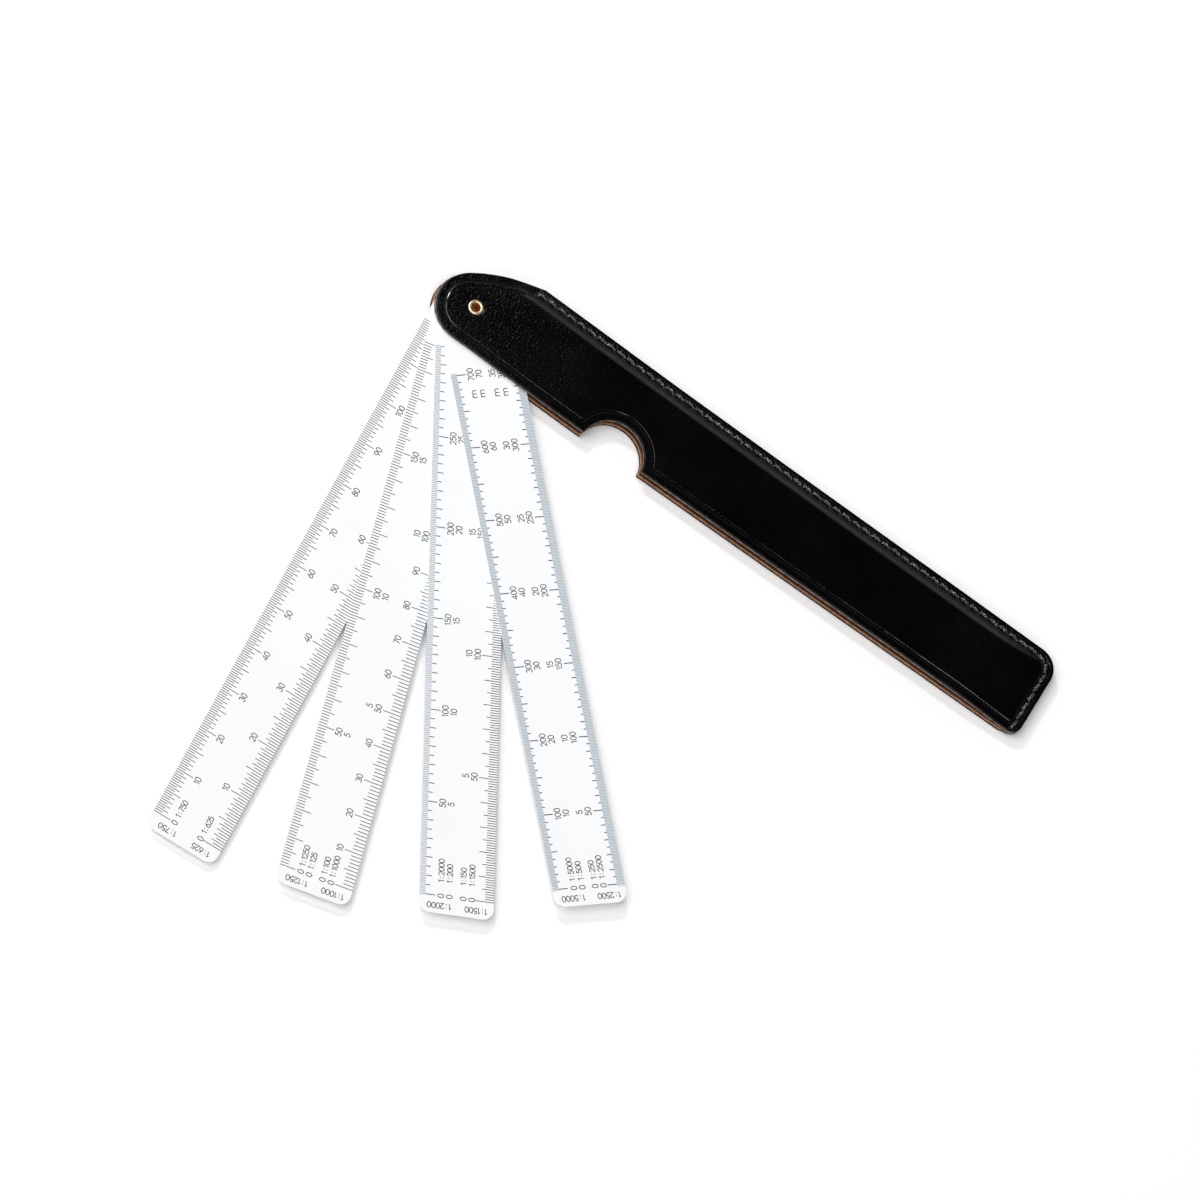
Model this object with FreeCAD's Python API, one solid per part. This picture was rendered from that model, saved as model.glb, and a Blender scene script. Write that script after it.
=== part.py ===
"""Pocket scale ruler: four blades that fan out of a stitched leather sheath about one eyelet.

Lengths in mm. The origin is on the eyelet's axis at the table, +X runs along the sheath to its
closed end, +Y to its stitched spine and +Z up. The blades lie one on the other, blade 1, the
longest, lowest, and they are drawn fanned out.
"""
import math
import os

import FreeCAD
import Part

# Blades
BLADE_WIDTH = 20.0
BLADE_THICKNESS = 0.4
BLADE_GAP = 0.05
ZERO_MARK_TO_PIVOT = 157.7
ZERO_MARK_TO_TIP = 4.75
BLADE_STAGGER = 3.85
TIP_CORNER_RADIUS = 3.0
TAIL_SETBACK = 0.6
OPEN_ANGLES = (85.9, 73.9, 60.8, 47.9)

# Leather
COVER_THICKNESS = 1.35
SEAM_LEATHER_THICKNESS = 1.15
POCKET_PLAY = 0.04

# Outline of the sheath
PIVOT_END_LIP = 0.1
PIVOT_END_CENTRE_X = -0.5
PIVOT_END_CENTRE_Y = -0.75
SHOULDER_ANGLE = 36.0
KINK_PAST_BLADE = 3.0
OPEN_EDGE_TAPER = 0.36
SPINE_MARGIN = 6.96
SPINE_TAPER = 0.3
CLOSED_END_MARGIN = 5.4
SPINE_CORNER_RADIUS = 6.0
OPEN_CORNER_RADIUS = 3.2
NOTCH_FROM_PIVOT = 50.25
NOTCH_RADIUS = 9.0
NOTCH_DEPTH = 8.45

# Pocket, formed where the leather steps down to the seam
SPINE_CLEARANCE = 1.25
SPINE_SLOPE = 31.5
KINK_CLEARANCE = 0.5
KINK_SLOPE = 40.0
FRONT_TIP_CLEARANCE = 0.8
BACK_TIP_CLEARANCE = 0.3
BACK_END_SLOPE = 43.5

# Crease pressed in along the open edges
CREASE_INSET = 2.35
CREASE_WIDTH = 0.75
CREASE_DEPTH = 0.28
CREASE_END_FROM_SEAM = 1.2

# Seam
SEAM_INSET = 2.1
SEAM_CHANNEL_WIDTH = 1.5
SEAM_CHANNEL_DEPTH = 0.2
STITCH_PITCH = 3.15
STITCH_START_BEFORE_KINK = 1.3
STITCH_END_FROM_CORNER = 1.15
CHANNEL_PAST_STITCHES = 0.3
THREAD_DIAMETER = 0.48
THREAD_BEND = 0.06
THREAD_GAP = 0.04
STITCH_HOLE_CLEARANCE = 0.03
THREAD_LIFT = 0.02

# Eyelet
EYELET_BORE = 2.5
EYELET_WALL = 0.25
EYELET_HEAD_DIAMETER = 4.2
EYELET_HEAD_HEIGHT = 0.42
EYELET_ROLL_DIAMETER = 4.0
EYELET_ROLL_HEIGHT = 0.4
EYELET_LIP_ROUND = 0.3
EYELET_ABOVE_TABLE = 0.05
EYELET_SEAT_CLEARANCE = 0.1
EYELET_FIT = 0.02
PIVOT_CLEARANCE = 0.05

# Levels and places that follow from the sizes above
BLADE_COUNT = len(OPEN_ANGLES)
BLADE_STEP = BLADE_THICKNESS + BLADE_GAP
POCKET_DEPTH = BLADE_COUNT * BLADE_STEP - BLADE_GAP + 2 * POCKET_PLAY
FRONT_INSIDE_Z = COVER_THICKNESS + POCKET_DEPTH
SEAM_Z = COVER_THICKNESS + POCKET_DEPTH / 2
TOP_Z = FRONT_INSIDE_Z + COVER_THICKNESS
SEAM_TOP_Z = SEAM_Z + SEAM_LEATHER_THICKNESS
CHANNEL_Z = SEAM_TOP_Z - SEAM_CHANNEL_DEPTH
HALF_WIDTH = BLADE_WIDTH / 2
SHORTEST_REACH = ZERO_MARK_TO_PIVOT + ZERO_MARK_TO_TIP
LONGEST_REACH = SHORTEST_REACH + (BLADE_COUNT - 1) * BLADE_STAGGER
CLOSED_END_X = LONGEST_REACH + CLOSED_END_MARGIN
PIVOT_END_RADIUS = HALF_WIDTH + PIVOT_END_LIP
KINK_X = HALF_WIDTH + KINK_PAST_BLADE
THREAD_RADIUS = THREAD_DIAMETER / 2
BARREL_RADIUS = EYELET_BORE / 2 + EYELET_WALL
BEYOND = 2 * HALF_WIDTH


def vec(x, y, z=0.0):
    return FreeCAD.Vector(x, y, z)


def polar(radius, degrees):
    """Point at that radius and angle about the origin."""
    return vec(radius * math.cos(math.radians(degrees)), radius * math.sin(math.radians(degrees)))


def line(start, end):
    return Part.LineSegment(start, end).toShape()


def arc(start, middle, end):
    return Part.Arc(start, middle, end).toShape()


def prism(face, bottom, top):
    """Solid that stands on a flat face drawn at z 0, from bottom to top."""
    lifted = face.copy()
    lifted.translate(vec(0, 0, bottom))
    return lifted.extrude(vec(0, 0, top - bottom))


def polygon(corners):
    return Part.makePolygon(corners + corners[:1])


def rounded_corner(before, corner, after, radius):
    """Start, middle and end of the arc that rounds a corner between two straight edges."""
    back = (before - corner).normalize()
    onward = (after - corner).normalize()
    half_angle = back.getAngle(onward) / 2
    inward = (back + onward).normalize()
    trim = radius / math.tan(half_angle)
    middle = corner + inward * (radius / math.sin(half_angle) - radius)
    return corner + back * trim, middle, corner + onward * trim


def spine_y(x, inset=0.0):
    """The spine edge, or a line beside it inside the sheath."""
    return HALF_WIDTH + SPINE_MARGIN - inset - x * math.tan(math.radians(SPINE_TAPER))


def pivot_end_point(degrees, inset=0.0):
    centre = vec(PIVOT_END_CENTRE_X, PIVOT_END_CENTRE_Y)
    return centre + polar(PIVOT_END_RADIUS - inset, degrees)


def open_edge_start():
    """Where the round pivot end runs into the straight open edge."""
    return pivot_end_point(OPEN_EDGE_TAPER - 90)


def open_edge_y(x):
    start = open_edge_start()
    return start.y + (x - start.x) * math.tan(math.radians(OPEN_EDGE_TAPER))


def sheath_face():
    """Outline shared by both covers, without the thumb notch."""
    start = open_edge_start()
    open_corner = vec(CLOSED_END_X, open_edge_y(CLOSED_END_X))
    spine_corner = vec(CLOSED_END_X, spine_y(CLOSED_END_X))
    kink = vec(KINK_X, spine_y(KINK_X))
    shoulder = pivot_end_point(SHOULDER_ANGLE + 90)
    open_round = rounded_corner(start, open_corner, spine_corner, OPEN_CORNER_RADIUS)
    spine_round = rounded_corner(open_corner, spine_corner, kink, SPINE_CORNER_RADIUS)
    chord = kink - shoulder
    bow = math.radians(SHOULDER_ANGLE) - math.atan2(chord.y, chord.x)
    left = vec(-chord.y, chord.x).normalize()
    shoulder_middle = (kink + shoulder) * 0.5 + left * (chord.Length / 2 * math.tan(bow / 2))
    far_left = pivot_end_point((SHOULDER_ANGLE + OPEN_EDGE_TAPER) / 2 + 180)
    edges = [
        line(start, open_round[0]),
        arc(*open_round),
        line(open_round[2], spine_round[0]),
        arc(*spine_round),
        line(spine_round[2], kink),
        arc(kink, shoulder_middle, shoulder),
        arc(shoulder, far_left, start),
    ]
    return Part.Face(Part.Wire(edges))


def notch_face():
    """Thumb notch, a round bite out of the open edge."""
    centre_y = open_edge_y(NOTCH_FROM_PIVOT) + NOTCH_DEPTH - NOTCH_RADIUS
    circle = Part.Circle(vec(NOTCH_FROM_PIVOT, centre_y), vec(0, 0, 1), NOTCH_RADIUS)
    return Part.Face(Part.Wire(circle.toShape()))


def cover_face():
    return sheath_face().cut(notch_face()).Faces[0]


def crease_band():
    """Strip of the crease along the open edge, round the pivot end and up the shoulder."""
    face = cover_face()
    outer = face.makeOffset2D(CREASE_WIDTH / 2 - CREASE_INSET)
    inner = face.makeOffset2D(-CREASE_WIDTH / 2 - CREASE_INSET)
    end_x = CLOSED_END_X - SEAM_INSET - CREASE_END_FROM_SEAM
    kink_x = KINK_X - STITCH_START_BEFORE_KINK
    corners = [vec(-BEYOND, -BEYOND), vec(end_x, -BEYOND), vec(end_x, 0), vec(kink_x, 0)]
    corners += [vec(kink_x, 2 * BEYOND), vec(-BEYOND, 2 * BEYOND)]
    return outer.cut(inner).common(Part.Face(polygon(corners)))


def seam_edges(inset, margin):
    """Path at that inset along the spine, round the corner and down the closed end.

    It runs past the first and last needle points by the margin.
    """
    start_x = KINK_X - STITCH_START_BEFORE_KINK - margin
    end_x = CLOSED_END_X - inset
    seam_end_y = open_edge_y(CLOSED_END_X - SEAM_INSET) + STITCH_END_FROM_CORNER
    start = vec(start_x, spine_y(start_x, inset))
    corner = vec(end_x, spine_y(end_x, inset))
    end = vec(end_x, seam_end_y - margin)
    bend = rounded_corner(start, corner, end, SPINE_CORNER_RADIUS - inset)
    return [line(start, bend[0]), arc(*bend), line(bend[2], end)]


def seam_channel():
    """Shallow channel that the stitches lie in."""
    outer = seam_edges(SEAM_INSET - SEAM_CHANNEL_WIDTH / 2, CHANNEL_PAST_STITCHES)
    inner = seam_edges(SEAM_INSET + SEAM_CHANNEL_WIDTH / 2, CHANNEL_PAST_STITCHES)
    end_cap = line(outer[-1].Vertexes[-1].Point, inner[-1].Vertexes[-1].Point)
    start_cap = line(inner[0].Vertexes[0].Point, outer[0].Vertexes[0].Point)
    return Part.Face(Part.Wire(outer + [end_cap] + inner[::-1] + [start_cap]))


def run_of(rise, degrees):
    """How far a slope goes sideways while it rises that much."""
    return rise / math.tan(math.radians(degrees))


def slanted(thickness, degrees):
    """Width across the level of a sloping sheet of that thickness."""
    return thickness / math.sin(math.radians(degrees))


def front_end_slope():
    """Slope of the front cover, from over the shortest blade's tip down to the seam."""
    return math.degrees(math.atan2(FRONT_INSIDE_Z - SEAM_Z, LONGEST_REACH - SHORTEST_REACH))


def pocket_corners(z, end_x, end_slope, outside):
    """Corners of the raised pocket at a height, on the front cover's inside or outside face.

    end_x is where the inside face leaves the pocket's flat roof, next to the closed end.
    """
    drop = FRONT_INSIDE_Z - z
    skin = SEAM_LEATHER_THICKNESS if outside else 0.0
    wall_x = end_x + run_of(drop, end_slope) + slanted(skin, end_slope)
    wall_y = SPINE_CLEARANCE + run_of(drop, SPINE_SLOPE) + slanted(skin, SPINE_SLOPE)
    kink_x = HALF_WIDTH - KINK_CLEARANCE + run_of(drop, KINK_SLOPE) + slanted(skin, KINK_SLOPE)
    inset = SPINE_MARGIN - wall_y
    return [
        vec(-BEYOND, -BEYOND, z),
        vec(wall_x, -BEYOND, z),
        vec(wall_x, spine_y(wall_x, inset), z),
        vec(kink_x, spine_y(kink_x, inset), z),
        vec(kink_x, 2 * BEYOND, z),
        vec(-BEYOND, 2 * BEYOND, z),
    ]


def raised(top, end_x, end_slope, outside):
    """Raised pocket from the seam plane up, as a solid with flat sloping walls."""
    low = pocket_corners(SEAM_Z, end_x, end_slope, outside)
    high = pocket_corners(top, end_x, end_slope, outside)
    faces = [Part.Face(polygon(low)), Part.Face(polygon(high))]
    for here in range(len(low)):
        before = here - 1
        faces.append(Part.Face(polygon([low[before], low[here], high[here], high[before]])))
    return Part.Solid(Part.Shell(faces))


def formed_leather(end_x, end_slope):
    """Leather from the seam plane up, with its raised outside and its hollow inside."""
    outside = raised(TOP_Z, end_x, end_slope, True)
    flange = prism(sheath_face(), SEAM_Z, SEAM_TOP_Z)
    hollow = raised(FRONT_INSIDE_Z, end_x, end_slope, False)
    return flange.fuse(outside.common(prism(sheath_face(), SEAM_Z, TOP_Z))).cut(hollow)


def seam_points():
    """Needle points, evenly spaced along the seam."""
    seam = Part.Wire(seam_edges(SEAM_INSET, 0.0))
    count = round(seam.Length / STITCH_PITCH)
    return seam.discretize(Number=count + 1)


def stitch_legs(start, end):
    """Where the two legs of one stitch go into the leather."""
    along = (end - start).normalize()
    offset = along * ((THREAD_DIAMETER + THREAD_GAP) / 2 + THREAD_GAP / 2)
    return start + offset, end - offset, along


def stitch(start, end):
    """One stitch of the front: a run along the channel with a leg into the seam at each end."""
    first, last, along = stitch_legs(start, end)
    bend = THREAD_RADIUS + THREAD_BEND
    run_z = vec(0, 0, CHANNEL_Z + THREAD_LIFT + THREAD_RADIUS)
    knee_z = run_z - vec(0, 0, bend)
    foot_z = vec(0, 0, SEAM_Z + THREAD_LIFT)
    turned = along * bend
    halfway = turned * (1 - math.sqrt(0.5)) - vec(0, 0, bend * (1 - math.sqrt(0.5)))
    halfway_back = turned * (math.sqrt(0.5) - 1) - vec(0, 0, bend * (1 - math.sqrt(0.5)))
    path = Part.Wire([
        line(first + foot_z, first + knee_z),
        arc(first + knee_z, first + run_z + halfway, first + run_z + turned),
        line(first + run_z + turned, last + run_z - turned),
        arc(last + run_z - turned, last + run_z + halfway_back, last + knee_z),
        line(last + knee_z, last + foot_z),
    ])
    section = Part.Wire(Part.Circle(first + foot_z, vec(0, 0, 1), THREAD_RADIUS).toShape())
    return path.makePipeShell([section], True, False)


def stitches():
    points = seam_points()
    return [stitch(start, end) for start, end in zip(points, points[1:])]


def stitch_holes():
    """A hole for each leg, so that two stitches share one figure-eight hole."""
    radius = THREAD_RADIUS + STITCH_HOLE_CLEARANCE
    points = seam_points()
    holes = []
    for start, end in zip(points, points[1:]):
        for leg in stitch_legs(start, end)[:2]:
            base = leg + vec(0, 0, SEAM_Z - SEAM_LEATHER_THICKNESS)
            holes.append(Part.makeCylinder(radius, 2 * SEAM_LEATHER_THICKNESS, base))
    return holes


def cover(end_x, end_slope):
    """One cover, shaped as the front one: inside face down."""
    leather = formed_leather(end_x, end_slope)
    below_crease = raised(TOP_Z, end_x, end_slope, True)
    below_crease.translate(vec(0, 0, -CREASE_DEPTH))
    tools = [
        prism(notch_face(), 0, TOP_Z + COVER_THICKNESS),
        prism(crease_band(), SEAM_Z, TOP_Z + COVER_THICKNESS).cut(below_crease),
        prism(seam_channel(), CHANNEL_Z, TOP_Z),
        Part.makeCylinder(BARREL_RADIUS + EYELET_FIT, TOP_Z + COVER_THICKNESS),
    ]
    return leather.cut(tools + stitch_holes())


def mirrored(shape):
    """The same shape on the other side of the seam plane."""
    return shape.mirror(vec(0, 0, SEAM_Z), vec(0, 0, 1))


def front_cover():
    return cover(SHORTEST_REACH + FRONT_TIP_CLEARANCE, front_end_slope())


def back_cover():
    """Bottom cover: it keeps its full depth up to the longest blade's tip."""
    leather = mirrored(cover(LONGEST_REACH + BACK_TIP_CLEARANCE, BACK_END_SLOPE))
    seat_depth = EYELET_ABOVE_TABLE + EYELET_ROLL_HEIGHT
    seat = Part.makeCylinder(EYELET_ROLL_DIAMETER / 2 + EYELET_SEAT_CLEARANCE, seat_depth)
    return leather.cut(seat)


def eyelet():
    """Tubular rivet: rounded head over the front cover, rolled end sunk in the back cover."""
    bore = EYELET_BORE / 2
    head_z = TOP_Z + EYELET_HEAD_HEIGHT
    roll_top = EYELET_ABOVE_TABLE + EYELET_ROLL_HEIGHT
    head_rim = EYELET_HEAD_DIAMETER / 2
    roll_rim = EYELET_ROLL_DIAMETER / 2
    lip = EYELET_LIP_ROUND
    lip_middle = lip * (1 - math.sqrt(0.5))
    edges = [
        line(vec(bore, 0, EYELET_ABOVE_TABLE + lip), vec(bore, 0, head_z - lip)),
        arc(vec(bore, 0, head_z - lip), vec(bore + lip_middle, 0, head_z - lip_middle),
            vec(bore + lip, 0, head_z)),
        arc(vec(bore + lip, 0, head_z),
            vec((bore + lip + head_rim * 3) / 4, 0, TOP_Z + EYELET_HEAD_HEIGHT * 0.62),
            vec(head_rim, 0, TOP_Z)),
        line(vec(head_rim, 0, TOP_Z), vec(BARREL_RADIUS, 0, TOP_Z)),
        line(vec(BARREL_RADIUS, 0, TOP_Z), vec(BARREL_RADIUS, 0, roll_top)),
        line(vec(BARREL_RADIUS, 0, roll_top), vec(roll_rim, 0, roll_top)),
        arc(vec(roll_rim, 0, roll_top),
            vec((bore + lip + roll_rim * 3) / 4, 0, roll_top - EYELET_ROLL_HEIGHT * 0.62),
            vec(bore + lip, 0, EYELET_ABOVE_TABLE)),
        arc(vec(bore + lip, 0, EYELET_ABOVE_TABLE),
            vec(bore + lip_middle, 0, EYELET_ABOVE_TABLE + lip_middle),
            vec(bore, 0, EYELET_ABOVE_TABLE + lip)),
    ]
    return Part.Face(Part.Wire(edges)).revolve(vec(0, 0, 0), vec(0, 0, 1), 360)


def blade(index):
    """One flat blade with a round tail, drawn fanned out at its open angle."""
    reach = LONGEST_REACH - index * BLADE_STAGGER
    bottom = COVER_THICKNESS + POCKET_PLAY + index * BLADE_STEP
    tail_low = vec(TAIL_SETBACK, -HALF_WIDTH)
    tail_high = vec(TAIL_SETBACK, HALF_WIDTH)
    tip_low = vec(reach, -HALF_WIDTH)
    tip_high = vec(reach, HALF_WIDTH)
    low_round = rounded_corner(tail_low, tip_low, tip_high, TIP_CORNER_RADIUS)
    high_round = rounded_corner(tip_low, tip_high, tail_high, TIP_CORNER_RADIUS)
    edges = [
        line(tail_low, low_round[0]),
        arc(*low_round),
        line(low_round[2], high_round[0]),
        arc(*high_round),
        line(high_round[2], tail_high),
        arc(tail_high, vec(TAIL_SETBACK - HALF_WIDTH, 0), tail_low),
    ]
    sheet = prism(Part.Face(Part.Wire(edges)), bottom, bottom + BLADE_THICKNESS)
    hole = Part.makeCylinder(BARREL_RADIUS + PIVOT_CLEARANCE, TOP_Z)
    drilled = sheet.cut(hole)
    drilled.rotate(vec(0, 0, 0), vec(0, 0, 1), -OPEN_ANGLES[index])
    return drilled


def save(name, shape):
    shape.exportStep("parts/%s.step" % name)


def main():
    os.makedirs("parts", exist_ok=True)
    save("front_cover", front_cover())
    save("back_cover", back_cover())
    save("eyelet", eyelet())
    for index in range(BLADE_COUNT):
        save("blade_%d" % (index + 1), blade(index))
    front_thread = stitches()
    save("front_thread", Part.makeCompound(front_thread))
    save("back_thread", Part.makeCompound([mirrored(piece) for piece in front_thread]))


main()
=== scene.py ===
"""Dressed model of a pocket scale ruler: four white scale blades that fan out on one brass
eyelet, from a black leather sheath with a pressed crease, a thumb notch and a stitched spine."""
import math

import bpy
import numpy as np
from mathutils import Matrix, Vector
from mathutils.geometry import delaunay_2d_cdt


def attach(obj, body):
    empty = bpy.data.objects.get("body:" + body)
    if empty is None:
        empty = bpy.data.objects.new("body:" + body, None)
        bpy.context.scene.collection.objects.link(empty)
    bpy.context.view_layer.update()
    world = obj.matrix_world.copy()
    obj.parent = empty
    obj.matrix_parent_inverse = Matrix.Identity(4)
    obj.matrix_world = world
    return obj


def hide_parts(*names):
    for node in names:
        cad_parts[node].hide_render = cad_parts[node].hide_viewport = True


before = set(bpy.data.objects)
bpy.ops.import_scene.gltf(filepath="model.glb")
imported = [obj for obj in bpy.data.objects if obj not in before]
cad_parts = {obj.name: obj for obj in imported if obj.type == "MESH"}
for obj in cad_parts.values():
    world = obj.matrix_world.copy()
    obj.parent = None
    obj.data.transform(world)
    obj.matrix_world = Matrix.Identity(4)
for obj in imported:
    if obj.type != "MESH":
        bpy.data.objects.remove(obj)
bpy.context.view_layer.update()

MM = 0.001

# Sizes of the CAD, in mm
END_X = 179.4
PIVOT_END = (-0.5, -0.75)
PIVOT_END_RADIUS = 10.1
SHOULDER_DEG = 36.0
KINK_X = 13.0
SPINE_AT_PIVOT = 16.96
SPINE_TAPER = 0.3
OPEN_TAPER = 0.36
SPINE_CORNER = 6.0
OPEN_CORNER = 3.2
NOTCH_X = 50.25
NOTCH_RADIUS = 9.0
NOTCH_DEPTH = 8.45
ROOF_Z = 3.18
SEAM_Z = 2.265
SEAM_TOP_Z = 3.415
TOP_Z = 4.53
CHANNEL_Z = 3.215
CREASE_INSET = 2.35
SEAM_INSET = 2.1
STITCH_PITCH = 3.15
STITCH_START_X = 11.7
STITCH_END_Y = -8.586
BORE = 1.25
BARREL = 1.5
HEAD_RIM = 2.1
HEAD_TOP_Z = 4.95
ARRIS = 0.16
# Distances from the spine at which the pocket's slope starts and ends, outside and inside. The
# skin's slope starts sooner and ends softer than the CAD's plain one.
SPINE_SLOPE_OUT = (3.58, 5.62)
SPINE_SLOPE_IN = (4.217, 5.71)
SHOULDER_STEP_OUT, SHOULDER_STEP_IN = (11.2, 8.0), (10.59, 9.5)
ROLL_RIM = 2.0
ROLL_TOP_Z = 0.45
ROLL_BOTTOM_Z = 0.05

# How the sewn leather has moved from its plain outline: the whole sheath curves sideways, and the
# open edge is pulled in by so much at these places along it
SIDEWAYS_CURVE = 0.33
PULL_X = (-9, -5, 0, 5, 12, 20, 28, 34, 44, 58, 70)
PULL_IN = (0, 0.2, 0.33, 0.28, 0.05, -0.14, -0.25, -0.28, -0.28, -0.05, 0)

# Form of the skin, in mm
SHOULDER_DROOP, DROOP_WIDTH = 0.76, 4.5
CREASE_PRESS, CREASE_HOLLOW = 0.115, 0.04
CREASE_INNER, CREASE_INNER_WALL = 0.48, 0.26
CREASE_OUTER, CREASE_OUTER_FLOOR = 0.5, 0.24
CREASE_FADE = (3.2, 3.9)
NEEDLE_DIMPLE, DIMPLE_RADIUS = 0.16, 0.34
HEAD_DENT, DENT_WIDTH = 0.05, 0.3
SKIN_WAVES = 0.018
RIM_ROUND = 0.28
SKIN_BELOW_TOP = 0.02
FLESH_ABOVE_SEAM = 0.012

# The cut edge: it wavers, and round the pivot end the front one leans back, the back one out
CUT_ROWS = (0.1, 0.3, 0.5, 0.7, 0.9)
CUT_WAVER = 0.09
FRONT_LEAN, BACK_LEAN = 0.34, -0.2
LEAN_TILT, RIM_TILT = 0.32, 0.35

# Lines that the triangles of the leather follow: distances inside its edge, and shares of the
# slope up to the pocket
RIM_SPACING = 0.5
SKIN_LOOPS = (0.02, 0.07, 0.15, 0.3)
FLESH_LOOPS = (0.25, 0.5, 0.9)
CREASE_LINES = (1.75, 1.85, 1.92, 1.98, 2.04, 2.11, 2.2, 2.35, 2.5, 2.55, 2.6, 2.7, 2.8, 2.85, 2.92,
                3.02)
CHANNEL_LINES = (0.5, 0.8, 1.1, 1.4, 1.7, 2.1, 2.4, 2.6, 2.8, 3.05, 3.3, 3.55)
SKIN_SLOPE_LINES = (-0.25, -0.12, 0.0, 0.12, 0.3, 0.5, 0.7, 0.88, 1.0, 1.12, 1.25)
FLESH_SLOPE_LINES = (-0.15, 0.0, 0.15, 0.5, 0.85, 1.0, 1.15)

# Stitches: each is two plies twisted together, set slantwise from hole to hole
STITCH_END_GAP = 0.16
STITCH_SLANT = 0.2
STITCH_ABOVE_CHANNEL, STITCH_DIVE, STITCH_UNEVEN = 0.2, 0.5, 0.03
PLY_ASIDE, PLY_ABOVE, PLY_RADIUS = 0.27, 0.14, 0.18
PLY_TURNS, PLY_SHIFT = 1.2, 0.9

# Mouth of the eyelet's sunk roll: how wide and how deep it turns in
ROLL_MOUTH_WIDTH, ROLL_MOUTH_DEPTH = 0.34, 0.3

# Blades: angle below the sheath, distance of the 0 mark from the pivot, top face
BLADES = {
    1: (85.9, 169.25, 1.79),
    2: (73.9, 165.4, 2.24),
    3: (60.8, 161.55, 2.69),
    4: (47.9, 157.7, 3.14),
}
HALF_BLADE = 10.0


def tangent(degrees):
    return math.tan(math.radians(degrees))


def cosine(degrees):
    return math.cos(math.radians(degrees))


def unit(degrees):
    return np.array([cosine(degrees), math.sin(math.radians(degrees))])


# ---- outline of the sheath ----

OPEN_START = np.array(PIVOT_END) + PIVOT_END_RADIUS * unit(OPEN_TAPER - 90)


def open_edge_y(x):
    return OPEN_START[1] + (x - OPEN_START[0]) * tangent(OPEN_TAPER)


def spine_y(x):
    return SPINE_AT_PIVOT - x * tangent(SPINE_TAPER)


SHOULDER = np.array(PIVOT_END) + PIVOT_END_RADIUS * unit(SHOULDER_DEG + 90)
KINK = np.array([KINK_X, spine_y(KINK_X)])
SHOULDER_CHORD = KINK - SHOULDER
SHOULDER_BOW = math.radians(SHOULDER_DEG) - math.atan2(SHOULDER_CHORD[1], SHOULDER_CHORD[0])
SHOULDER_RADIUS = float(np.hypot(*SHOULDER_CHORD)) / (2 * math.sin(SHOULDER_BOW))
SHOULDER_CENTRE = SHOULDER - SHOULDER_RADIUS * unit(SHOULDER_DEG + 90)
NOTCH_CENTRE = np.array([NOTCH_X, open_edge_y(NOTCH_X) + NOTCH_DEPTH - NOTCH_RADIUS])
OPEN_ROUND = np.array([
    END_X - OPEN_CORNER,
    open_edge_y(END_X - OPEN_CORNER) + OPEN_CORNER / cosine(OPEN_TAPER),
])
SPINE_ROUND = np.array([
    END_X - SPINE_CORNER,
    spine_y(END_X - SPINE_CORNER) - SPINE_CORNER / cosine(SPINE_TAPER),
])


def straight(start, end, spacing):
    count = max(1, math.ceil(float(np.hypot(*(np.array(end) - start))) / spacing))
    part = np.linspace(0, 1, count + 1)[:-1, None]
    return np.array(start) * (1 - part) + np.array(end) * part


def sweep(centre, radius, start, end, spacing):
    count = max(3, math.ceil(abs(math.radians(end - start)) * radius / spacing))
    turn = np.radians(np.linspace(start, end, count + 1)[:-1])
    return np.stack([centre[0] + radius * np.cos(turn), centre[1] + radius * np.sin(turn)], -1)


def edge_path(inset, spacing=RIM_SPACING):
    """Closed path round the leather at that distance inside its cut edge."""
    start = np.array(PIVOT_END) + (PIVOT_END_RADIUS - inset) * unit(OPEN_TAPER - 90)
    reach = NOTCH_RADIUS + inset
    rise = np.dot(start - NOTCH_CENTRE, unit(OPEN_TAPER + 90))
    half_bite = math.sqrt(reach ** 2 - rise ** 2)
    foot = NOTCH_CENTRE + rise * unit(OPEN_TAPER + 90)
    left, right = foot - half_bite * unit(OPEN_TAPER), foot + half_bite * unit(OPEN_TAPER)
    lean = math.degrees(math.asin(rise / reach))
    spine_out = unit(90 - SPINE_TAPER)
    spine_at = np.dot(SPINE_ROUND, spine_out) + SPINE_CORNER - inset
    offset = spine_at - np.dot(SHOULDER_CENTRE, spine_out)
    across = math.sqrt((SHOULDER_RADIUS - inset) ** 2 - offset ** 2)
    kink = SHOULDER_CENTRE + offset * spine_out - across * unit(-SPINE_TAPER)
    kink_turn = math.degrees(math.atan2(*(kink - SHOULDER_CENTRE)[::-1]))
    open_in, spine_in = OPEN_CORNER - inset, SPINE_CORNER - inset
    return np.concatenate([
        straight(start, left, spacing),
        sweep(NOTCH_CENTRE, reach, 180 - lean + OPEN_TAPER, lean + OPEN_TAPER, spacing),
        straight(right, OPEN_ROUND + open_in * unit(OPEN_TAPER - 90), spacing),
        sweep(OPEN_ROUND, open_in, OPEN_TAPER - 90, 0, spacing),
        straight(OPEN_ROUND + [open_in, 0], SPINE_ROUND + [spine_in, 0], spacing),
        sweep(SPINE_ROUND, spine_in, 0, 90 - SPINE_TAPER, spacing),
        straight(SPINE_ROUND + spine_in * spine_out, kink, spacing),
        sweep(SHOULDER_CENTRE, SHOULDER_RADIUS - inset, kink_turn, SHOULDER_DEG + 90, spacing),
        sweep(PIVOT_END, PIVOT_END_RADIUS - inset, SHOULDER_DEG + 90, 270 + OPEN_TAPER, spacing),
    ])


def rounded(first, second, radius):
    """Distance inside a corner of two straight edges that is rounded to that radius."""
    inside = radius - np.hypot(radius - first, radius - second)
    return np.where((first < radius) & (second < radius), inside, np.minimum(first, second))


def from_open_line(x, y):
    return (y - open_edge_y(x)) * cosine(OPEN_TAPER)


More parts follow.
